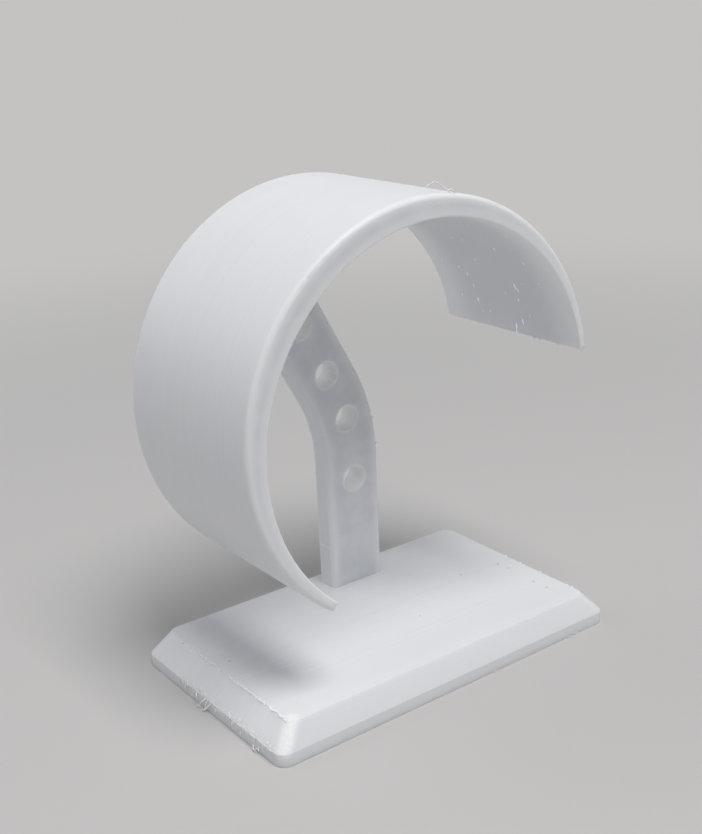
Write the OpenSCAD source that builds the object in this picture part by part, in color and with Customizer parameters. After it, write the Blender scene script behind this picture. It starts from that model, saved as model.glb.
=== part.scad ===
// Watch stand in one piece: a bevelled base, a flat arm that rises from it along one
// side and leans forward, and a broad open ring at the top of the arm.
// The arm meets the ring square to its rim and flush with one edge, so the whole rim
// stays free from the other side. The wall of the ring is a crescent: thickest at the
// upper front, thin at its free end at the back and at its tip below.
// Z is up, X runs across the width, the front is towards -Y, and the origin is the
// middle of the underside of the base. Side views are drawn in [y, z].

/* [Base] */
// Width of the base, side to side
base_w = 36; // [33:1:50]
// Length of the base, front to back
base_l = 60; // [50:1:90]
// Height of the upright lip round the foot
base_lip_h = 1.9; // [1:0.1:4]
// Height of the bevelled part above the lip
base_bevel_h = 3.2; // [1:0.1:6]
// Size of the top face as a share of the footprint
base_taper = 0.906; // [0.8:0.002:0.98]
// Radius of the upright corners of the lip
base_corner_r = 1.75; // [0.5:0.25:4]

/* [Ring] */
// Radius of the bore of the ring
ring_bore_r = 27.25; // [24:0.25:32]
// Width of the ring across the stand
ring_w = 29.5; // [20:0.5:32]
// Height of the centre of the bore
ring_z = 39; // [36:0.5:48]
// Place of the centre of the bore, front to back
ring_y = 0.25; // [-3:0.25:3]
// Wall of the ring, averaged round the whole circle
ring_wall = 1.85; // [1.5:0.05:4]
// How far the rim is off centre, which makes the wall a crescent
rim_shift = 1.65; // [0:0.05:1.8]
// Direction of that shift, where the wall is thickest
rim_shift_angle = 129; // [100:1:160]
// Radius that softens both edges of the rim
rim_edge_r = 0.7; // [0.2:0.05:0.7]
// Radius that softens both edges of the bore
bore_edge_r = 0.25; // [0.2:0.05:0.6]
// Radius of the corners at both ends of the ring, seen from outside
end_corner_r = 0.9; // [0.4:0.1:2]
// Angle of the free end at the back, up from level
free_end_angle = 10.4; // [0:0.1:40]
// Angle of the tip below the front, round from the back
tip_angle = 228.2; // [200:0.1:240]

/* [Arm] */
// Thickness of the arm across the stand
arm_t = 4.1; // [2.5:0.1:8]
// Depth of the arm, front to back
arm_w = 9.6; // [7:0.1:14]
// Radius of the long edges of the arm
arm_edge_r = 0.9; // [0.2:0.1:1.2]
// Place of the middle of the post, front to back
post_y = 3.9; // [0:0.1:8]
// Radius of the bend, along the middle of the arm
bend_r = 26; // [14:0.5:32]
// Angle at which the arm leans forward and meets the ring, round from the back
lean_angle = 118; // [110:1:130]

/* [Holes] */
// Diameter of the holes through the arm
hole_d = 4; // [2:0.1:5]
// Lowest hole, along the middle of the arm from where the bend starts
hole_1 = -3.1; // [-8:0.1:0]
// Second hole, along the middle of the arm
hole_2 = 6.9; // [5:0.1:8]
// Third hole, along the middle of the arm
hole_3 = 15.2; // [14:0.1:17]
// Top hole, along the middle of the arm
hole_4 = 24.4; // [23:0.1:27]

/* [Hidden] */
$fn = 96;
// Sides of a full circle on the corners of the base
corner_fn = 48;
// How far a cutting tool reaches past the face that it opens
past = 1;
// How much wider than the wall a round end cap is drawn before it is trimmed
cap_spread = 0.02;
// Straight sides that stand in for the outer arc of the span of the ring
span_sides = 8;
// Angle of each flat in a rounded corner that is cut away
flat_angle = 22.5;
// How far the faces of the straight stretches of the arm lie inside those of the bend
joint_step = 0.01;
// How far the straight stretches reach into the bend
joint_lap = 0.5;
base_h = base_lip_h + base_bevel_h;
rim_r = ring_bore_r + ring_wall;
ring_c = [ring_y, ring_z];
rim_c = ring_c + rim_shift * toward(rim_shift_angle);
// The outer face of the arm is flush with the edge of the ring
arm_x = (arm_t - ring_w) / 2;
lean_turn = lean_angle - 90;
bend_length = bend_r * lean_turn * PI / 180;
// Above the bend the arm is straight, and its middle line points away from ring_c
bend_end_y = post_y - bend_r * (1 - cos(lean_turn));
bend_end = ring_c + (bend_end_y - ring_y) / cos(lean_angle) * toward(lean_angle);
bend_z = bend_end[1] - bend_r * sin(lean_turn);
bend_c = [post_y - bend_r, bend_z];
// The arm ends halfway into the wall of the ring
root_r = ring_bore_r + wall(lean_angle) / 2;
hole_places = [hole_1, hole_2, hole_3, hole_4];

function toward(a) = [cos(a), sin(a)];

// Wall of the ring at angle a about the bore
function wall(a) =
    rim_shift * cos(a - rim_shift_angle)
    + sqrt(pow(rim_r, 2) - pow(rim_shift * sin(a - rim_shift_angle), 2))
    - ring_bore_r;

// Point on the middle line of the arm, s along it from the start of the bend
function on_arm(s) =
    s < 0 ? [post_y, bend_z + s]
    : s < bend_length ? bend_c + bend_r * toward(s / bend_length * lean_turn)
    : bend_end + (s - bend_length) * toward(lean_angle);

// Outline of the waste outside a rounded corner: the corner's centre is at c, its radius
// is r, and flats stand in for its arc. The first and last flats run on past the corner.
function corner_waste(c, r) =
    let (
        flats = [for (a = [0 : flat_angle : 90]) c + r * toward(a)],
        n = len(flats) - 1,
        run = past / (flats[0] - flats[1])[0],
        start = flats[0] + run * (flats[0] - flats[1]),
        end = flats[n] + run * (flats[n] - flats[n - 1])
    )
    concat([[start[0], end[1]], start], flats, [end]);

// Stands a side view up: its x runs along Y, its y along Z, and its height along X
module side_view(at = [0, 0]) {
    translate([0, at[0], at[1]]) rotate([90, 0, 90]) children();
}

module rounded_rect(size, r) {
    square([size[0] - 2 * r, size[1]], center = true);
    square([size[0], size[1] - 2 * r], center = true);
    for (x = [-1, 1], y = [-1, 1])
        translate([x * (size[0] / 2 - r), y * (size[1] / 2 - r)]) circle(r);
}

// Base: an upright lip, then sides that draw in evenly to the flat top
module base() {
    hull($fn = corner_fn) {
        linear_extrude(base_lip_h) rounded_rect([base_w, base_l], base_corner_r);
        linear_extrude(base_h) scale(base_taper) rounded_rect([base_w, base_l], base_corner_r);
    }
}

// Part of the circle that the ring fills, drawn wide and closed by a round cap at each end
module ring_span() {
    span_r = 2 * rim_r;
    step = (tip_angle - free_end_angle) / span_sides;
    polygon(concat([ring_c], [
        for (i = [0 : span_sides]) ring_c + span_r * toward(free_end_angle + i * step)
    ]));
    for (a = [free_end_angle, tip_angle])
        translate(ring_c + (ring_bore_r + wall(a) / 2) * toward(a)) circle(wall(a) / 2 + cap_spread);
}

// Cutter for the bore, with mouths that flare to soften its edges
module bore() {
    mouth_c = [ring_bore_r + bore_edge_r, ring_w / 2 - bore_edge_r];
    side_view(ring_c) {
        cylinder(r = ring_bore_r, h = ring_w + 2 * past, center = true);
        for (side = [-1, 1]) rotate_extrude() polygon([
            for (p = corner_waste([0, 0], bore_edge_r))
                [mouth_c[0] - p[0], side * (mouth_c[1] + p[1])]
        ]);
    }
}

// Cutters that round both corners of one end of the ring, at angle a about the bore. The
// value of way is 1 where the ring ends towards larger angles, and -1 where it starts.
module end_corners(a, way) {
    corner_c = [wall(a) / 2 + cap_spread, ring_w / 2] - end_corner_r * [1, 1];
    side_view(ring_c) rotate(a) translate([ring_bore_r - past, 0, 0]) side_view()
        linear_extrude(wall(a) + 2 * past) for (side = [-1, 1])
            polygon([
                for (p = corner_waste(corner_c, end_corner_r)) [way * p[0], side * p[1]]
            ]);
}

// Ring: a disc with soft edges, opened by a bore that is off its centre
module ring() {
    difference() {
        intersection() {
            side_view(rim_c) rotate_extrude() intersection() {
                rounded_rect([2 * rim_r, ring_w], rim_edge_r);
                translate([0, -ring_w / 2]) square([rim_r, ring_w]);
            }
            side_view() linear_extrude(ring_w + 2 * past, center = true) ring_span();
        }
        bore();
        end_corners(free_end_angle, -1);
        end_corners(tip_angle, 1);
    }
}

// Straight stretch of the bar, a hair slimmer than the bend so that it enters it cleanly
module straight(from, to) {
    translate([0, 0, from]) linear_extrude(to - from)
        rounded_rect([arm_t - 2 * joint_step, arm_w - 2 * joint_step], arm_edge_r);
}

// Bar of the arm: an upright post, a bend, and a straight part that ends in the ring
module bar() {
    translate([arm_x, post_y, 0]) straight(base_lip_h / 2, bend_z + joint_lap);
    side_view(bend_c) rotate_extrude(angle = lean_turn)
        translate([bend_r, arm_x]) rounded_rect([arm_w, arm_t], arm_edge_r);
    intersection() {
        translate([arm_x, bend_end[0], bend_end[1]]) rotate([lean_turn, 0, 0])
            straight(-joint_lap, 2 * rim_r);
        side_view(ring_c) cylinder(r = root_r, h = ring_w + 2 * past, center = true);
    }
}

// Arm: the bar with round holes drilled along its middle
module arm() {
    difference() {
        bar();
        for (s = hole_places)
            translate([arm_x, 0, 0]) side_view(on_arm(s))
                cylinder(d = hole_d, h = arm_t + 2 * past, center = true);
    }
}

// Stand: base, arm and ring, made in one piece
module stand() {
    color("whitesmoke") {
        arm();
        ring();
        base();
    }
}

stand();
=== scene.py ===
import math
import random

import bmesh
import bpy
from mathutils import Matrix, Vector


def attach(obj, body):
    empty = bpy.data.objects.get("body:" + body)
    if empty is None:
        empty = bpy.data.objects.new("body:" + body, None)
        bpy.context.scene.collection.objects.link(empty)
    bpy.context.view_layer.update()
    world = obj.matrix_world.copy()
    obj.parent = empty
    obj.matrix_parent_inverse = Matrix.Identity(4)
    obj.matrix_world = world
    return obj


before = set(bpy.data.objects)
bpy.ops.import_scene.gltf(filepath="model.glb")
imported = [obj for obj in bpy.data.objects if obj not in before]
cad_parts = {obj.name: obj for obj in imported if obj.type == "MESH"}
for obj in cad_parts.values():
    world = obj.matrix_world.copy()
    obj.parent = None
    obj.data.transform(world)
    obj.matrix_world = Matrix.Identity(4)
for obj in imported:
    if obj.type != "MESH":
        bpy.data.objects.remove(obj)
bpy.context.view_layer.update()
scene = bpy.context.scene
scene.view_settings.view_transform = "Standard"

# Camera. It looks down on the right front of the stand from about a hand's length away,
# a little above the ring, so the ring covers part of its own inside.
camera_data = bpy.data.cameras.new("camera")
camera_data.lens = 53.45
camera_data.shift_x = -0.0596
camera_data.shift_y = 0.0051
camera_data.clip_start = 0.01
camera = bpy.data.objects.new("camera", camera_data)
camera.location = (0.13410, -0.09973, 0.09386)
camera.rotation_euler = [math.radians(a) for a in (70.695, 1.634, 51.435)]
scene.collection.objects.link(camera)
scene.camera = camera

# The stand itself. It is one white plastic print that was laid on its side, so every
# layer is an upright slice, and the edges of the slices show as fine lines on all faces
# but the broad sides. There the nozzle's loops follow each edge, with slanting fill inside.
MM = 0.001
# Sizes from here on are millimetres, in [y, z] for a side view, and match the solid. LAYER is
# the thickness of a slice, LINE the width of a line in it, and the places of the holes are
# counted along the arm from where it starts to bend.
LAYER = 0.2
LINE = 0.42
WALL_LINES = 3
LIP_TOP = 1.9
BASE_TOP = 5.1
BASE_END = 30.0
TOP_END = 27.18
TIP_Z = 16.0
RING_C = Vector((0.25, 39.0))
BORE_R = 27.25
RING_WALL = 1.85
RIM_SHIFT = 1.65
RIM_SHIFT_ANGLE = math.radians(129)
ARM_W = 9.6
POST_Y = 3.9
BEND_R = 26.0
LEAN = math.radians(28)
HOLE_R = 2.0
HOLE_PLACES = (-3.1, 6.9, 15.2, 24.4)
PLASTIC_IOR = 1.46


def toward(angle):
    return Vector((math.cos(angle), math.sin(angle)))


rim_r = BORE_R + RING_WALL
rim_c = RING_C + RIM_SHIFT * toward(RIM_SHIFT_ANGLE)
up_arm = toward(LEAN + math.pi / 2)
bend_end_y = POST_Y - BEND_R * (1 - math.cos(LEAN))
bend_end = RING_C + (RING_C[0] - bend_end_y) / math.sin(LEAN) * up_arm
bend_c = bend_end - BEND_R * toward(LEAN)


def on_arm(s):
    """Point on the middle line of the arm, s along it from the start of the bend."""
    if s < 0:
        return Vector((POST_Y, bend_c[1] + s))
    if s < BEND_R * LEAN:
        return bend_c + BEND_R * toward(s / BEND_R)
    return bend_end + (s - BEND_R * LEAN) * up_arm


def make_group(name, inputs, outputs):
    """An empty node group with named inputs (name, type, default) and outputs that are numbers."""
    tree = bpy.data.node_groups.new(name, "ShaderNodeTree")
    for label, kind, value in inputs:
        socket = tree.interface.new_socket(label, in_out="INPUT", socket_type=kind)
        if value is not None:
            socket.default_value = value
    for label in outputs:
        tree.interface.new_socket(label, in_out="OUTPUT", socket_type="NodeSocketFloat")
    return tree, tree.nodes.new("NodeGroupInput"), tree.nodes.new("NodeGroupOutput")


def set_socket(tree, socket, value):
    """Links a socket to another or gives it a value. None leaves it as it is."""
    if isinstance(value, bpy.types.NodeSocket):
        tree.links.new(value, socket)
    elif value is not None:
        socket.default_value = value


def set_inputs(tree, node, **values):
    """Sets or links the inputs of a node by name, which may be a group's output node."""
    for label, value in values.items():
        set_socket(tree, node.inputs[label], value)


def use_group(tree, group, **values):
    """A copy of a node group in a tree, with its inputs set or linked by name."""
    node = tree.nodes.new("ShaderNodeGroup")
    node.node_tree = group
    set_inputs(tree, node, **values)
    return node


def maths(tree, operation, a, b=None, c=None, clamp=False):
    node = tree.nodes.new("ShaderNodeMath")
    node.operation = operation
    node.use_clamp = clamp
    for socket, value in zip(node.inputs, (a, b, c)):
        set_socket(tree, socket, value)
    return node.outputs[0]


def fold(tree, operation, values):
    """One operation run through a list of values, such as the MAXIMUM of them all."""
    total, *others = values
    for value in others:
        total = maths(tree, operation, total, value)
    return total


def vector_maths(tree, operation, a, b=None, c=None, scale=None):
    node = tree.nodes.new("ShaderNodeVectorMath")
    node.operation = operation
    for socket, value in zip(node.inputs, (a, b, c)):
        set_socket(tree, socket, value)
    if scale is not None:
        set_socket(tree, node.inputs["Scale"], scale)
    return node.outputs["Value" if operation in {"DOT_PRODUCT", "DISTANCE", "LENGTH"} else "Vector"]


def combine(tree, x, y, z):
    node = tree.nodes.new("ShaderNodeCombineXYZ")
    for socket, value in zip(node.inputs, (x, y, z)):
        set_socket(tree, socket, value)
    return node.outputs[0]


def separate(tree, vector):
    node = tree.nodes.new("ShaderNodeSeparateXYZ")
    tree.links.new(vector, node.inputs[0])
    return node.outputs


def blend_value(tree, share, a, b):
    node = tree.nodes.new("ShaderNodeMix")
    node.data_type = "FLOAT"
    for socket, value in zip((node.inputs[0], node.inputs[2], node.inputs[3]), (share, a, b)):
        set_socket(tree, socket, value)
    return node.outputs[0]


def blend_colour(tree, share, a, b):
    node = tree.nodes.new("ShaderNodeMix")
    node.data_type = "RGBA"
    for socket, value in zip((node.inputs[0], node.inputs[6], node.inputs[7]), (share, a, b)):
        set_socket(tree, socket, value)
    return node.outputs[2]


def ramp(tree, value, low, high, start=0.0, end=1.0):
    """start below low and end above high, with a smooth step between them."""
    node = tree.nodes.new("ShaderNodeMapRange")
    node.interpolation_type = "SMOOTHSTEP"
    for socket, setting in zip(node.inputs, (value, low, high, start, end)):
        set_socket(tree, socket, setting)
    return node.outputs[0]


def noise(tree, vector, scale, detail=2.0, roughness=0.5):
    node = tree.nodes.new("ShaderNodeTexNoise")
    set_inputs(tree, node, Vector=vector, Scale=scale, Detail=detail, Roughness=roughness)
    return node.outputs["Fac"]


def extruded_lines_group():
    """Side-by-side lines of extruded plastic along a coordinate in millimetres. Each line is a
    low round ridge, and lines differ a little in height, in tone and along their run."""
    tree, given, result = make_group(
        "extruded_lines",
        [("Across", "NodeSocketFloat", 0.0), ("Along", "NodeSocketVector", None),
         ("Pitch", "NodeSocketFloat", LAYER), ("Unevenness", "NodeSocketFloat", 0.5)],
        ["Height", "Tone"],
    )
    own_part, band_part, swell_part = 0.45, 0.35, 0.2
    steps = maths(tree, "DIVIDE", given.outputs["Across"], given.outputs["Pitch"])
    index = maths(tree, "FLOOR", steps)
    centred = maths(tree, "SUBTRACT", maths(tree, "SUBTRACT", steps, index), 0.5)
    ridge = maths(tree, "MULTIPLY_ADD", maths(tree, "MULTIPLY", centred, centred), -4.0, 1.0)
    own = tree.nodes.new("ShaderNodeTexWhiteNoise")
    own.noise_dimensions = "1D"
    set_inputs(tree, own, W=index)
    # Lines drift in bands of a few, as the printer's drive runs slightly fast or slow.
    band = tree.nodes.new("ShaderNodeTexNoise")
    band.noise_dimensions = "1D"
    set_inputs(tree, band, W=index, Scale=0.31, Detail=3.0)
    # Along its run a line swells and thins slowly, out of step with the lines beside it.
    swells_per_mm = 0.16
    own_start = combine(tree, maths(tree, "MULTIPLY", index, 3.7), 0.0, 0.0)
    place = vector_maths(tree, "MULTIPLY_ADD", given.outputs["Along"], (swells_per_mm,) * 3, own_start)
    swell = maths(tree, "MULTIPLY", noise(tree, place, 1.0, 1.0), swell_part)
    drift = maths(tree, "MULTIPLY_ADD", band.outputs["Fac"], band_part, swell)
    level = maths(tree, "MULTIPLY_ADD", own.outputs["Value"], own_part, drift)
    height = blend_value(tree, given.outputs["Unevenness"], ridge, level)
    set_inputs(tree, result, Height=height, Tone=level)
    return tree


def side_outline_group():
    """How far a point of a broad side lies from the nearest edge of the ring, the arm or a hole,
    for a side view in millimetres. Fill is 1 where there is fill between the loops, and Depth
    rises softly from 0 at the walls to 1 over the fill. Bore and Hole are 1 on their own rims."""
    tree, given, result = make_group(
        "side_outline",
        [("Y", "NodeSocketFloat", 0.0), ("Z", "NodeSocketFloat", 0.0)],
        ["Distance", "Fill", "Depth", "Bore", "Hole"],
    )
    y, z = given.outputs["Y"], given.outputs["Z"]
    at = combine(tree, y, z, 0.0)

    def from_circle(centre, radius):
        """Distance outwards from a circle."""
        return maths(tree, "SUBTRACT", vector_maths(tree, "DISTANCE", at, (*centre, 0.0)), radius)

    def on_rim(distance):
        return ramp(tree, maths(tree, "ABSOLUTE", distance), 0.1, 0.35, 1.0, 0.0)

    # The arm's middle line is upright, then bends, then leans; its width is the same all along.
    off_post = maths(tree, "SUBTRACT", y, POST_Y)
    off_bend = from_circle(bend_c, BEND_R)
    past_bend = vector_maths(tree, "SUBTRACT", at, (*bend_end, 0.0))
    off_lean = vector_maths(tree, "DOT_PRODUCT", past_bend, (*toward(LEAN), 0.0))
    up_lean = vector_maths(tree, "DOT_PRODUCT", past_bend, (*up_arm, 0.0))
    leans = maths(tree, "GREATER_THAN", up_lean, 0.0)
    bends = maths(tree, "GREATER_THAN", z, bend_c[1])
    off_middle = blend_value(tree, leans, blend_value(tree, bends, off_post, off_bend), off_lean)
    in_bar = maths(tree, "SUBTRACT", ARM_W / 2, maths(tree, "ABSOLUTE", off_middle))
    from_hole = fold(tree, "MINIMUM", [from_circle(on_arm(s), HOLE_R) for s in HOLE_PLACES])
    in_arm = maths(tree, "MINIMUM", in_bar, from_hole)

    # A point is on the ring if it lies outside the bore and above the ring's tip.
    from_bore = from_circle(RING_C, BORE_R)
    in_rim = maths(tree, "MULTIPLY", from_circle(rim_c, rim_r), -1.0)
    in_ring = maths(tree, "MINIMUM", from_bore, in_rim)
    on_ring = maths(tree, "MULTIPLY", maths(tree, "GREATER_THAN", from_bore, -0.05),
                    maths(tree, "GREATER_THAN", z, TIP_Z))
    in_part = blend_value(tree, on_ring, in_arm, in_ring)
    on_base = maths(tree, "LESS_THAN", z, BASE_TOP)
    off_base = maths(tree, "SUBTRACT", 1.0, on_base)

    # The fill's tone fades in slowly from an edge of the arm or the ring, and fast from a hole.
    from_edge = ramp(tree, blend_value(tree, on_ring, in_bar, in_ring), 0.2, 2.2)
    depth = maths(tree, "MULTIPLY", from_edge, ramp(tree, from_hole, 0.0, 0.5))
    set_inputs(
        tree, result,
        Distance=blend_value(tree, on_base, in_part, z),
        Fill=maths(tree, "MULTIPLY", maths(tree, "GREATER_THAN", in_part, WALL_LINES * LINE), off_base),
        Depth=maths(tree, "MULTIPLY", depth, off_base),
        Bore=on_rim(from_bore),
        Hole=on_rim(from_hole),
    )
    return tree


def printed_lines_group():
    """The lines that the nozzle laid, at a point in millimetres: the edges of the slices, and on
    the broad sides loops and slanting fill. Sideways is 1 on those sides."""
    tree, given, result = make_group(
        "printed_lines",
        [("At", "NodeSocketVector", None), ("Facing", "NodeSocketVector", None)],
        ["Height", "Tone", "Sideways", "Depth", "Bore", "Hole"],
    )
    at = given.outputs["At"]
    x, y, z = separate(tree, at)
    lines = extruded_lines_group()
    slices = use_group(tree, lines, Across=x, Along=combine(tree, 0.0, y, z), Pitch=LAYER, Unevenness=0.72)

    outline = use_group(tree, side_outline_group(), Y=y, Z=z)
    slant = maths(tree, "MULTIPLY", maths(tree, "ADD", y, z), math.sqrt(0.5))
    across = blend_value(tree, outline.outputs["Fill"], outline.outputs["Distance"], slant)
    skin = use_group(tree, lines, Across=across, Along=at, Pitch=LINE, Unevenness=0.3)
    skin_height = maths(tree, "MULTIPLY", skin.outputs["Height"], 0.35)
    skin_tone = maths(tree, "MULTIPLY_ADD", skin.outputs["Tone"], 0.25, 0.4)

    facing_x = separate(tree, given.outputs["Facing"])[0]
    sideways = ramp(tree, maths(tree, "ABSOLUTE", facing_x), 0.93, 0.99)
    set_inputs(
        tree, result,
        Height=blend_value(tree, sideways, slices.outputs["Height"], skin_height),
        Tone=blend_value(tree, sideways, slices.outputs["Tone"], skin_tone),
        Sideways=sideways,
        Depth=outline.outputs["Depth"],
        Bore=outline.outputs["Bore"],
        Hole=outline.outputs["Hole"],
    )
    return tree


def mark_group():
    """1 on a straight mark that starts at From and ends after Run, fading to 0 at its width. With
    a Run of no length it is a spot."""
    tree, given, result = make_group(
        "mark",
        [("At", "NodeSocketVector", None), ("From", "NodeSocketVector", None),
         ("Run", "NodeSocketVector", None), ("Width", "NodeSocketFloat", 0.3)],
        ["Mask"],
    )
    run, width = given.outputs["Run"], given.outputs["Width"]
    offset = vector_maths(tree, "SUBTRACT", given.outputs["At"], given.outputs["From"])
    along_run = vector_maths(tree, "DOT_PRODUCT", offset, run)
    run_squared = maths(tree, "MAXIMUM", vector_maths(tree, "DOT_PRODUCT", run, run), 1e-6)
    share = maths(tree, "DIVIDE", along_run, run_squared, clamp=True)
    gap = vector_maths(tree, "DISTANCE", offset, vector_maths(tree, "SCALE", run, scale=share))
    core = maths(tree, "MULTIPLY", width, 0.3)
    set_inputs(tree, result, Mask=ramp(tree, gap, core, width, 1.0, 0.0))
    return tree


def flaws_group():
    """Masks of what went wrong here and there on the print, at a point in millimetres. Crumbs is
    the fine pattern of the rough corner."""
    tree, given, result = make_group(
        "flaws",
        [("At", "NodeSocketVector", None)],
        ["Pimples", "Pits", "Threads", "Corner", "Crumbs"],
    )
    at = given.outputs["At"]
    mark = mark_group()

    def marks(places):
        """Masks of several marks put together, each given as (start, end, width)."""
        copies = [
            use_group(tree, mark, At=at, From=start, Run=Vector(end) - Vector(start), Width=width)
            for start, end, width in places
        ]
        return fold(tree, "MAXIMUM", [copy.outputs["Mask"] for copy in copies])

    # Pimples where the nozzle oozed, rare and tiny.
    cells = tree.nodes.new("ShaderNodeTexVoronoi")
    set_inputs(tree, cells, Vector=at, Scale=0.42)
    chosen = tree.nodes.new("ShaderNodeSeparateColor")
    tree.links.new(cells.outputs["Color"], chosen.inputs[0])
    pimples = maths(tree, "MULTIPLY", ramp(tree, cells.outputs["Distance"], 0.02, 0.075, 1.0, 0.0),
                    maths(tree, "GREATER_THAN", chosen.outputs[0], 0.8))

    # Pits in the top of the base, most of them near its back, as (x, y, width).
    pits = marks([((x, y, BASE_TOP), (x, y, BASE_TOP), width) for x, y, width in (
        (0.0, 24.1, 0.30), (2.2, 24.4, 0.26), (-1.1, 17.1, 0.30),
        (8.3, 24.1, 0.30), (11.1, 24.2, 0.30), (5.1, 3.5, 0.22),
    )])

    # Pale threads on the top of the base, as (x, y, end x, end y, width). All but the last of
    # these run nearly along the slices. One more thread goes up the front bevel.
    threads = marks([
        *(((x, y, BASE_TOP), (end_x, end_y, BASE_TOP), width) for x, y, end_x, end_y, width in (
            (2.5, -23.6, 2.8, -18.8, 0.16), (1.8, -22.2, 1.8, -20.2, 0.14),
            (2.0, -27.0, 2.4, -24.5, 0.22), (2.8, -25.3, 3.2, -21.7, 0.14),
            (4.0, -21.0, 4.4, -16.3, 0.14), (6.8, -19.0, 7.2, -15.7, 0.14),
            (4.3, 3.9, 6.0, 2.8, 0.14),
        )),
        ((1.3, -29.7, 2.2), (2.2, -27.8, 4.4), 0.14),
    ])

    # The front corner of the base on the side away from the arm came out rough, down its bevel. Its
    # near-white colour is a painted highlight; its roughness is relief.
    corner = use_group(tree, mark, At=at, From=(15.3, -26.4, 5.0), Run=(2.3, -2.9, -2.9), Width=1.5)
    set_inputs(
        tree, result,
        Pimples=pimples,
        Pits=pits,
        Threads=threads,
        Corner=corner.outputs["Mask"],
        Crumbs=noise(tree, at, 2.6, 3.0, 0.65),
    )
    return tree


def plastic_colour(tree, at, lines, flaws, cloud):
    """Colour of the plastic: the plain print first, and then what lies over it, layer by layer."""
    by_line = maths(tree, "MULTIPLY", ramp(tree, lines.outputs["Tone"], 0.15, 0.85), 0.6)
    colour = blend_colour(tree, cloud, (0.77, 0.785, 0.815, 1.0), (0.81, 0.82, 0.84, 1.0))
    colour = blend_colour(tree, by_line, colour, (0.83, 0.84, 0.86, 1.0))

    # The walls are solid and look paler than the middle of the arm, which has a sparse fill.
    sideways = lines.outputs["Sideways"]
    blotch = ramp(tree, noise(tree, at, 0.33, 2.0, 0.5), 0.3, 0.7, 0.4, 0.8)
    filled = maths(tree, "MULTIPLY", maths(tree, "MULTIPLY", lines.outputs["Depth"], sideways), blotch)
    colour = blend_colour(tree, filled, colour, (0.65, 0.67, 0.705, 1.0))

    # The bore's colour holds painted light: painted shade in its middle and a painted glow near its edges,
    # where light soaks into the ring, and it has pale specks.
    # The walls of the holes are all loops, and are painted pale, a painted light standing in for the light
    # that falls into the holes.
    inward = maths(tree, "SUBTRACT", 1.0, sideways)
    bore_wall = maths(tree, "MULTIPLY", lines.outputs["Bore"], inward)
    bore_glow_share = ramp(tree, maths(tree, "ABSOLUTE", separate(tree, at)[0]), 7.0, 14.5)
    bore_painted_light = blend_colour(tree, bore_glow_share, (0.71, 0.725, 0.755, 1.0), (0.90, 0.91, 0.925, 1.0))
    colour = blend_colour(tree, maths(tree, "MULTIPLY", bore_wall, 0.7), colour, bore_painted_light)
    specks = maths(tree, "MULTIPLY", flaws.outputs["Pimples"], maths(tree, "MULTIPLY", bore_wall, 0.9))
    hole_painted_light = maths(tree, "MULTIPLY", lines.outputs["Hole"], maths(tree, "MULTIPLY", inward, 0.85))
    specks_and_hole_light = maths(tree, "MAXIMUM", specks, hole_painted_light)
    colour = blend_colour(tree, specks_and_hole_light, colour, (0.96, 0.965, 0.97, 1.0))

    # Threads show pale, pits are painted dark with the shade in them, and the rough corner is painted
    # nearly white, a painted highlight where it catches the light.
    thread = maths(tree, "MULTIPLY", flaws.outputs["Threads"], 0.6)
    colour = blend_colour(tree, thread, colour, (0.90, 0.91, 0.92, 1.0))
    # Each pit is painted dark, as painted shade in it.
    pit = maths(tree, "MULTIPLY", flaws.outputs["Pits"], 0.75)
    colour = blend_colour(tree, pit, colour, (0.40, 0.44, 0.50, 1.0))
    # Painted highlight: the rough corner is painted nearly white where its crumbs catch the light.
    corner_highlight = maths(tree, "MULTIPLY", flaws.outputs["Corner"],
                     ramp(tree, flaws.outputs["Crumbs"], 0.38, 0.52, 0.55, 1.0))
    return blend_colour(tree, corner_highlight, colour, (0.93, 0.935, 0.94, 1.0))


def plastic_relief(tree, lines, flaws):
    """Height of the surface: that of the lines, with the flaws raised over it or sunk into it."""
    height = lines.outputs["Height"]
    rough_corner = maths(tree, "MULTIPLY", flaws.outputs["Corner"], flaws.outputs["Crumbs"])
    for mask, rise in (
        (flaws.outputs["Pimples"], 2.2), (flaws.outputs["Threads"], 1.2),
        (flaws.outputs["Pits"], -2.0), (rough_corner, 5.0),
    ):
        height = maths(tree, "MULTIPLY_ADD", mask, rise, height)
    return height


def new_material(name):
    """A material, its node tree and its main shader."""
    material = bpy.data.materials.new(name)
    material.use_nodes = True
    return material, material.node_tree, material.node_tree.nodes["Principled BSDF"]


def place_in_mm(tree):
    """Where a point lies in its object, in millimetres."""
    coordinates = tree.nodes.new("ShaderNodeTexCoord")
    return vector_maths(tree, "SCALE", coordinates.outputs["Object"], scale=1 / MM)


def add_bump(tree, shader, height, strength, distance):
    """Relief on a shader, where a height of 1 stands for a distance in millimetres."""
    bump = tree.nodes.new("ShaderNodeBump")
    set_inputs(tree, bump, Strength=strength, Distance=distance * MM, Height=height)
    set_inputs(tree, shader, Normal=bump.outputs["Normal"])


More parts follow.
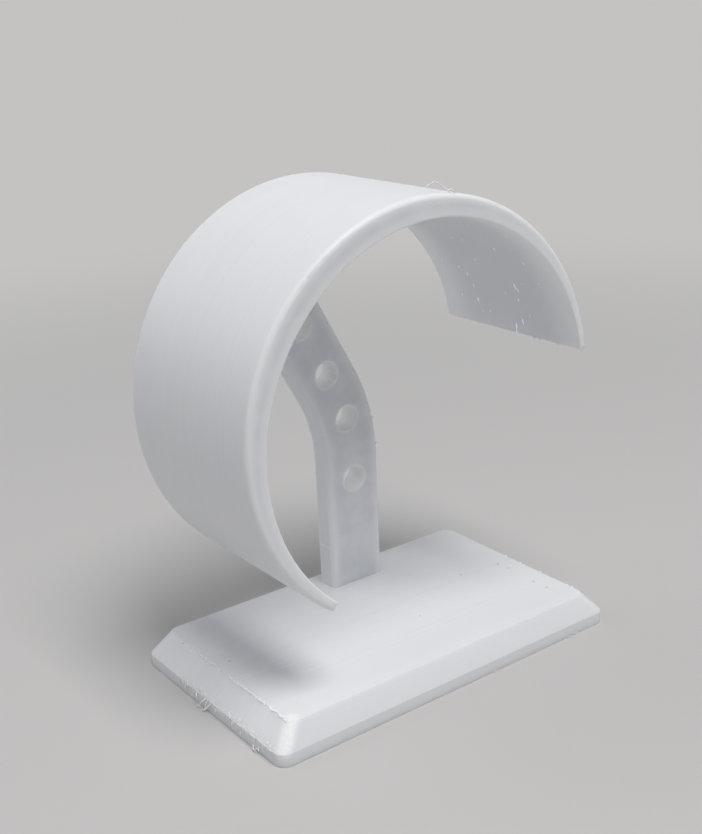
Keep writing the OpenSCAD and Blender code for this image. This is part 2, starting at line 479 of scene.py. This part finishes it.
def make_white_plastic():
    """The plastic of the stand, with its lines and flaws, and with light soaking into it."""
    material, tree, shader = new_material("white_plastic")
    at = place_in_mm(tree)
    face = tree.nodes.new("ShaderNodeNewGeometry")
    lines = use_group(tree, printed_lines_group(), At=at, Facing=face.outputs["True Normal"])
    flaws = use_group(tree, flaws_group(), At=at)
    cloud = noise(tree, at, 0.11, 3.0, 0.55)
    gloss = maths(tree, "MULTIPLY_ADD", lines.outputs["Tone"], 0.12, maths(tree, "MULTIPLY", cloud, 0.10))
    tree.links.new(plastic_colour(tree, at, lines, flaws, cloud), shader.inputs["Base Color"])
    tree.links.new(maths(tree, "ADD", gloss, 0.34), shader.inputs["Roughness"])
    add_bump(tree, shader, plastic_relief(tree, lines, flaws), 0.5, 0.025)
    shader.inputs["IOR"].default_value = PLASTIC_IOR
    shader.inputs["Subsurface Weight"].default_value = 0.6
    shader.inputs["Subsurface Radius"].default_value = (1.0, 0.94, 0.88)
    shader.inputs["Subsurface Scale"].default_value = 1.8 * MM
    return material


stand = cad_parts["stand"]
white_plastic = make_white_plastic()
for material_slot in stand.material_slots:
    material_slot.material = white_plastic


# Ragged edges. Each slice of the print ends in a tiny blob where the nozzle turned or
# stopped, and along the edges that cross the slices these blobs stand proud as a row of
# pale crumbs. They are fused to the stand.
rng = random.Random(41)
BEVEL_RUN = BASE_END - TOP_END
BEVEL_RISE = BASE_TOP - LIP_TOP


def make_pale_crumbs():
    """Fine bits of the same plastic, which look paler and more solid than the walls."""
    material, tree, shader = new_material("pale_crumbs")
    grain = noise(tree, place_in_mm(tree), 4.0, 2.0, 0.6)
    colour = blend_colour(tree, grain, (0.92, 0.925, 0.935, 1.0), (0.96, 0.965, 0.97, 1.0))
    tree.links.new(colour, shader.inputs["Base Color"])
    tree.links.new(ramp(tree, grain, 0.3, 0.7, 0.20, 0.32), shader.inputs["Roughness"])
    add_bump(tree, shader, grain, 0.4, 0.03)
    shader.inputs["IOR"].default_value = PLASTIC_IOR
    return material


def smooth_object(name, form):
    """Turns a form into an object of the scene, with a smooth surface."""
    mesh = bpy.data.meshes.new(name)
    form.to_mesh(mesh)
    form.free()
    for polygon in mesh.polygons:
        polygon.use_smooth = True
    made = bpy.data.objects.new(name, mesh)
    scene.collection.objects.link(made)
    return made


def finish_piece(name, form, material):
    """Turns a form into a piece of the stand."""
    piece = smooth_object(name, form)
    piece.data.materials.append(material)
    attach(piece, "root")
    return piece


def add_blob(form, centre, radii, turn=None):
    """A small lump with its three radii, turned by a matrix, with its middle at centre."""
    shape = Matrix.Diagonal((*[radius * MM for radius in radii], 1.0))
    place = Matrix.Translation(Vector(centre) * MM) @ (turn or Matrix()) @ shape
    bmesh.ops.create_icosphere(form, subdivisions=2, radius=1.0, matrix=place)


def ragged_edge(form, first_x, last_x, y, z, share, size):
    """Blobs at the ends of the slices from first_x to last_x, on the edge at y and z. About this
    share of the slices has one, and their size changes evenly from the first to the last."""
    steps = round((last_x - first_x) / LAYER)
    for step in range(steps + 1):
        along = step / steps
        radius = (size[0] + along * (size[1] - size[0])) * rng.uniform(0.6, 1.3)
        spread = rng.uniform(0.7, 2.2)
        jitter = rng.uniform(-0.4, 0.4) * radius
        if rng.random() < share:
            place = (first_x + step * LAYER, y + jitter, z - 0.2 * radius)
            add_blob(form, place, (0.13 * spread, radius, radius))


def crumb_band(form, first_x, last_x, share, size, spread):
    """Loose crumbs on both sides of the front top edge, on the top and on the bevel."""
    for step in range(round((last_x - first_x) / LAYER) + 1):
        off = rng.uniform(-spread, spread)
        radius = rng.uniform(*size)
        length = radius * rng.uniform(0.9, 2.2)
        if rng.random() < share:
            down = max(-off, 0.0) * BEVEL_RISE / BEVEL_RUN
            place = (first_x + step * LAYER, -TOP_END + off, BASE_TOP - down)
            add_blob(form, place, (length, radius, 0.8 * radius))


pale_crumbs = make_pale_crumbs()
crumbs = bmesh.new()
crumb_band(crumbs, -14.0, 15.0, 0.75, (0.05, 0.10), 0.30)
crumb_band(crumbs, -9.0, 15.0, 0.45, (0.08, 0.14), 0.12)
crumb_band(crumbs, 4.0, 15.4, 0.60, (0.09, 0.17), 0.16)
ragged_edge(crumbs, -9.0, 16.0, -BASE_END, LIP_TOP, 0.45, (0.06, 0.07))
ragged_edge(crumbs, -13.0, 15.0, TOP_END, BASE_TOP, 0.15, (0.05, 0.05))
for bump_x in (-11.6, -9.8, 1.6, 5.4, 8.9, 12.3, 14.0):
    add_blob(crumbs, (bump_x, -TOP_END - 0.04, BASE_TOP), (0.26, 0.2, 0.15))
for bump_x in (-1.4, 2.0, 6.6, 12.5, 13.6):
    add_blob(crumbs, (bump_x, TOP_END + 0.02, BASE_TOP - 0.02), (0.26, 0.15, 0.13))
# The rest sit on the free end of the ring, on the back edge of the arm, on the bore at the
# ring's edge on the arm's side, and one long crumb on the top of the base.
free_end = RING_C + (BORE_R + 0.1) * toward(math.radians(9.6))
for bump_x in (1.0, 4.9, 6.2, 9.9):
    add_blob(crumbs, (bump_x, *free_end), (0.24, 0.14, 0.16))
for bump_y, bump_z in ((8.05, 31.4), (8.60, 27.1)):
    add_blob(crumbs, (-10.97, bump_y, bump_z), (0.12, 0.13, 0.17))
far_edge = RING_C + (BORE_R + 0.1) * toward(math.radians(27.1))
add_blob(crumbs, (-14.4, *far_edge), (0.2, 0.22, 0.26))
add_blob(crumbs, (-2.6, -25.0, BASE_TOP), (0.32, 0.2, 0.2), Matrix.Rotation(0.7, 4, "Z"))
finish_piece("ragged_edges", crumbs, pale_crumbs)


# Whiskers. Fine hairs of plastic were pulled from the front lip of the base as the nozzle
# left it, and nobody trimmed them. They stand off the lip or droop over it to the table.
# Three more lie at the foot of the long side that is away from the arm.
def smooth_path(points):
    """Four points for each stretch of a smooth curve through the points."""
    points = [Vector(point) for point in points]
    padded = [points[0], *points, points[-1]]
    path = []
    for before, here, there, after in zip(padded, padded[1:], padded[2:], padded[3:]):
        for t in (0.0, 0.25, 0.5, 0.75):
            path.append((
                2 * here + (there - before) * t
                + (2 * before - 5 * here + 4 * there - after) * t * t
                + (3 * here - before - 3 * there + after) * t ** 3
            ) / 2)
    return [*path, points[-1]]


def full_turn(sides):
    return [2 * math.pi * k / sides for k in range(sides)]


def join_rings(form, rings):
    """Walls between closed rings of points, one after the other."""
    sides = len(rings[0])
    for lower, upper in zip(rings, rings[1:]):
        for k in range(sides):
            form.faces.new((lower[k], lower[(k + 1) % sides], upper[(k + 1) % sides], upper[k]))


def add_hair(form, points, root, tip=0.02, sides=6):
    """A hair through points, smoothed between them, that tapers from a root to a tip radius."""
    path = smooth_path(points)
    rings = []
    for i, point in enumerate(path):
        ahead = (path[min(i + 1, len(path) - 1)] - path[max(i - 1, 0)]).normalized()
        side = ahead.orthogonal() if i == 0 else side - side.dot(ahead) * ahead
        side.normalize()
        other = ahead.cross(side)
        radius = root + (tip - root) * (i / (len(path) - 1)) ** 1.5
        rings.append([
            form.verts.new((point + radius * (math.cos(a) * side + math.sin(a) * other)) * MM)
            for a in full_turn(sides)
        ])
    join_rings(form, rings)
    form.faces.new(reversed(rings[0]))
    form.faces.new(rings[-1])


hairs = bmesh.new()
for root, tip, points in (
    (0.13, 0.08, [(-7.0, -29.9, 1.3), (-7.0, -30.15, 1.6), (-7.1, -30.15, 2.1)]),
    (0.11, 0.06, [(-5.7, -29.9, 1.5), (-5.7, -30.15, 1.8), (-5.9, -30.1, 2.4)]),
    (0.07, 0.02, [(-6.5, -29.9, 1.6), (-6.5, -30.2, 1.3), (-6.3, -30.3, 1.0)]),
    (0.10, 0.05, [(-3.9, -29.9, 1.3), (-3.6, -30.2, 1.6), (-3.1, -30.2, 2.2)]),
    (0.09, 0.02, [(-3.2, -29.9, 1.9), (-2.9, -30.3, 1.8), (-2.6, -30.5, 1.4), (-2.7, -30.4, 1.0)]),
    (0.09, 0.02, [(-2.6, -29.7, 2.0), (-2.5, -29.9, 2.4), (-2.6, -29.8, 2.9)]),
    (0.11, 0.05, [(-1.1, -29.8, 1.9), (-1.1, -30.1, 2.4), (-1.2, -29.9, 3.1)]),
    (0.10, 0.05, [(-1.0, -29.9, 1.7), (-1.2, -30.4, 1.4), (-1.8, -30.6, 0.6), (-2.4, -30.7, 0.1)]),
    (0.13, 0.08, [(-0.3, -29.9, 0.9), (-0.5, -30.4, 0.5), (-1.0, -30.6, 0.15)]),
    (0.08, 0.02, [(-0.4, -29.9, 1.8), (-0.2, -30.4, 1.5), (-0.2, -30.6, 0.8)]),
    (0.08, 0.02, [(0.3, -29.9, 1.6), (0.3, -30.3, 1.3), (0.0, -30.4, 0.8)]),
    (0.10, 0.05, [(1.4, -29.9, 1.3), (1.4, -30.2, 1.7), (1.6, -30.1, 2.3)]),
    (0.07, 0.02, [(1.8, -29.9, 1.6), (2.0, -30.2, 1.3), (1.9, -30.3, 0.9)]),
    (0.07, 0.02, [(2.8, -29.9, 1.7), (3.0, -30.2, 1.9), (3.3, -30.2, 1.6)]),
    (0.10, 0.05, [(5.6, -29.9, 1.6), (5.6, -30.1, 2.0), (5.4, -30.0, 2.6)]),
    (0.08, 0.02, [(6.1, -29.9, 1.7), (6.3, -30.2, 1.4), (6.2, -30.3, 0.9)]),
    (0.07, 0.02, [(8.3, -29.9, 1.2), (8.4, -30.2, 0.9), (8.3, -30.2, 0.5)]),
    (0.10, 0.06, [(11.2, -29.9, 0.6), (11.7, -30.3, 0.35), (12.2, -30.4, 0.4), (12.6, -30.3, 0.8)]),
    (0.09, 0.02, [(12.6, -29.9, 0.9), (12.8, -30.2, 0.7), (13.1, -30.3, 0.6)]),
    (0.07, 0.02, [(17.9, 22.0, 0.2), (18.2, 22.2, 0.15), (18.3, 22.9, 0.1)]),
    (0.06, 0.02, [(17.9, 23.2, 0.3), (18.2, 23.4, 0.25), (18.2, 24.0, 0.3)]),
    (0.07, 0.02, [(17.9, 6.6, 0.2), (18.2, 7.0, 0.1), (18.3, 7.7, 0.15), (18.1, 8.2, 0.1)]),
):
    add_hair(hairs, points, root, tip)
# A fringe along the lip. Slices end a hair proud low on the bevel, or hang a little over the
# lip, each by its own length.
on_bevel = Matrix.Rotation(-math.atan2(BEVEL_RUN, BEVEL_RISE), 4, "X")
for _ in range(70):
    strand_x = rng.uniform(-10.0, 16.2)
    up = rng.uniform(0.05, 0.45)
    place = (strand_x, -BASE_END + up * BEVEL_RUN / BEVEL_RISE, LIP_TOP + up)
    add_blob(hairs, place, (0.07, 0.05, 0.05 + 0.5 * up), on_bevel)
for _ in range(110):
    strand_x = rng.uniform(-10.5, 16.3)
    down = rng.uniform(0.15, 0.4) + 0.5 * rng.random() ** 3
    half_width = rng.uniform(0.05, 0.09)
    tilt = Matrix.Rotation(rng.uniform(-0.12, 0.12), 4, "Y")
    add_blob(hairs, (strand_x, -BASE_END, LIP_TOP + 0.05 - down), (half_width, 0.05, down), tilt)
finish_piece("whiskers", hairs, pale_crumbs)


# Drops inside the ring. As the nozzle hopped over the bore it left small drops on the
# inner face, each drawn out along the slice in which it landed.
def make_drops_painted_glow():
    """The same bits again, with a faint painted glow that stands in for the daylight coming through the
    thin wall behind.
    """
    material = pale_crumbs.copy()
    material.name = "drops_painted_glow"
    shader = material.node_tree.nodes["Principled BSDF"]
    # Painted glow: the drops give off a faint light of their own.
    shader.inputs["Emission Color"].default_value = (0.95, 0.97, 1.0, 1.0)
    shader.inputs["Emission Strength"].default_value = 0.18
    return material


def add_drop(form, x, degrees, width, length):
    """A drop on the bore at an angle about its middle, drawn out round the bore."""
    angle = math.radians(degrees)
    spot = RING_C + BORE_R * toward(angle)
    add_blob(form, (x, *spot), (width / 2, width / 3, length / 2), Matrix.Rotation(angle, 4, "X"))


drops = bmesh.new()
for drop in (
    (-6.4, 18.6, 0.34, 0.75), (3.6, 27.6, 0.20, 1.25), (4.0, 26.4, 0.16, 0.9), (3.0, 14.5, 0.26, 1.15),
    (1.4, 12.3, 0.22, 1.1), (1.2, 9.9, 0.24, 0.5), (-6.8, 28.4, 0.18, 0.7), (-6.4, 23.9, 0.18, 0.8),
    (-10.1, 18.9, 0.22, 0.4), (-8.1, 30.9, 0.20, 0.5), (4.2, 44.3, 0.20, 0.8), (8.6, 39.5, 0.18, 0.6),
    (-4.4, 46.1, 0.20, 0.5), (0.8, 24.1, 0.16, 0.5), (-2.7, 36.3, 0.20, 0.5), (3.3, 22.4, 0.18, 0.6),
):
    add_drop(drops, *drop)
for _ in range(16):
    drop_x = rng.uniform(-13.0, 11.0)
    degrees = rng.uniform(12.0, 80.0)
    width = rng.uniform(0.10, 0.17)
    add_drop(drops, drop_x, degrees, width, rng.uniform(0.25, 0.6))
# One drop was drawn out into a thread that runs down to the ring's free end.
thread_r = BORE_R - 0.05
thread = [RING_C + thread_r * toward(math.radians(a)) for a in (12.5, 11.2, 10.0, 9.2)]
add_hair(drops, [(1.3, *spot) for spot in thread], 0.07)
finish_piece("drops_in_ring", drops, make_drops_painted_glow())


# Loose string. One fine string hangs on at the top of the ring, near the edge that the
# arm leaves free, where the nozzle lifted off. It rises, kinks and ends in a small loop.
string = bmesh.new()
add_hair(string, [
    (14.2, 3.9, 68.8), (14.3, 3.4, 69.5), (14.2, 2.7, 69.5), (14.2, 2.6, 69.1), (14.2, 3.1, 69.0),
    (14.1, 2.3, 69.8), (14.0, 1.5, 70.4), (14.0, 0.7, 70.8), (14.0, -0.1, 70.6), (14.0, -0.9, 70.3),
], 0.07, 0.04)
finish_piece("loose_string", string, pale_crumbs)


# Floor and backdrop: one wide pale dish, flat in the middle, that rises gently all round.
# It isn't part of the object. Its sizes and those of the lights are metres.
def make_floor():
    form = bmesh.new()
    flat, sweep, sides = 0.7, 2.2, 96
    profile = [(flat * share, 0.0) for share in (0.25, 0.5, 0.75, 1.0)]
    profile += [(flat + sweep * math.sin(a), sweep - sweep * math.cos(a))
                for a in [math.radians(d) for d in range(3, 43, 3)]]
    middle = form.verts.new((0, 0, 0))
    rings = [[form.verts.new((r * math.cos(a), r * math.sin(a), up)) for a in full_turn(sides)]
             for r, up in profile]
    for k in range(sides):
        form.faces.new((middle, rings[0][k], rings[0][(k + 1) % sides]))
    join_rings(form, rings[::-1])
    return smooth_object("floor", form)


def keep_backdrop_even(tree, shader):
    """Far from the stand, where the lamps fade, the dish shows the camera one even pale tone."""
    coordinates = tree.nodes.new("ShaderNodeTexCoord")
    from_middle = vector_maths(tree, "LENGTH", coordinates.outputs["Object"])
    rays = tree.nodes.new("ShaderNodeLightPath")
    seen = fold(tree, "MAXIMUM", [
        rays.outputs[f"Is {kind} Ray"] for kind in ("Camera", "Glossy", "Transmission")
    ])
    glow = tree.nodes.new("ShaderNodeEmission")
    set_inputs(tree, glow, Color=(0.55, 0.545, 0.54, 1.0), Strength=1.0)
    mix = tree.nodes.new("ShaderNodeMixShader")
    tree.links.new(maths(tree, "MULTIPLY", ramp(tree, from_middle, 0.10, 0.34), seen), mix.inputs[0])
    tree.links.new(shader.outputs[0], mix.inputs[1])
    tree.links.new(glow.outputs[0], mix.inputs[2])
    tree.links.new(mix.outputs[0], tree.nodes["Material Output"].inputs["Surface"])


floor = make_floor()
floor_paint, floor_tree, floor_shader = new_material("floor_paint")
floor_shader.inputs["Base Color"].default_value = (0.56, 0.55, 0.545, 1.0)
floor_shader.inputs["Roughness"].default_value = 0.75
floor_shader.inputs["Specular IOR Level"].default_value = 0.2
keep_backdrop_even(floor_tree, floor_shader)
floor.data.materials.append(floor_paint)


# Lights: a soft box above the camera's right, a weaker one at the left front, and an even
# pale surround.
def soft_box(name, place, size, watts, colour):
    """A square lamp that is aimed at the stand's base."""
    data = bpy.data.lights.new(name, "AREA")
    data.shape = "SQUARE"
    data.size = size
    data.energy = watts
    data.color = colour
    lamp = bpy.data.objects.new(name, data)
    lamp.location = place
    aim = Vector((0, 0, 0.03)) - Vector(place)
    lamp.rotation_euler = aim.to_track_quat("-Z", "Y").to_euler()
    scene.collection.objects.link(lamp)


soft_box("key_light", (0.30, -0.01, 0.75), 0.36, 4.2, (1.0, 0.99, 0.98))
soft_box("front_light", (-0.42, -0.42, 0.45), 0.5, 0.75, (0.97, 0.98, 1.0))
world = bpy.data.worlds.new("surround")
world.use_nodes = True
background = world.node_tree.nodes["Background"]
background.inputs["Color"].default_value = (0.95, 0.97, 1.0, 1.0)
background.inputs["Strength"].default_value = 0.34
scene.world = world
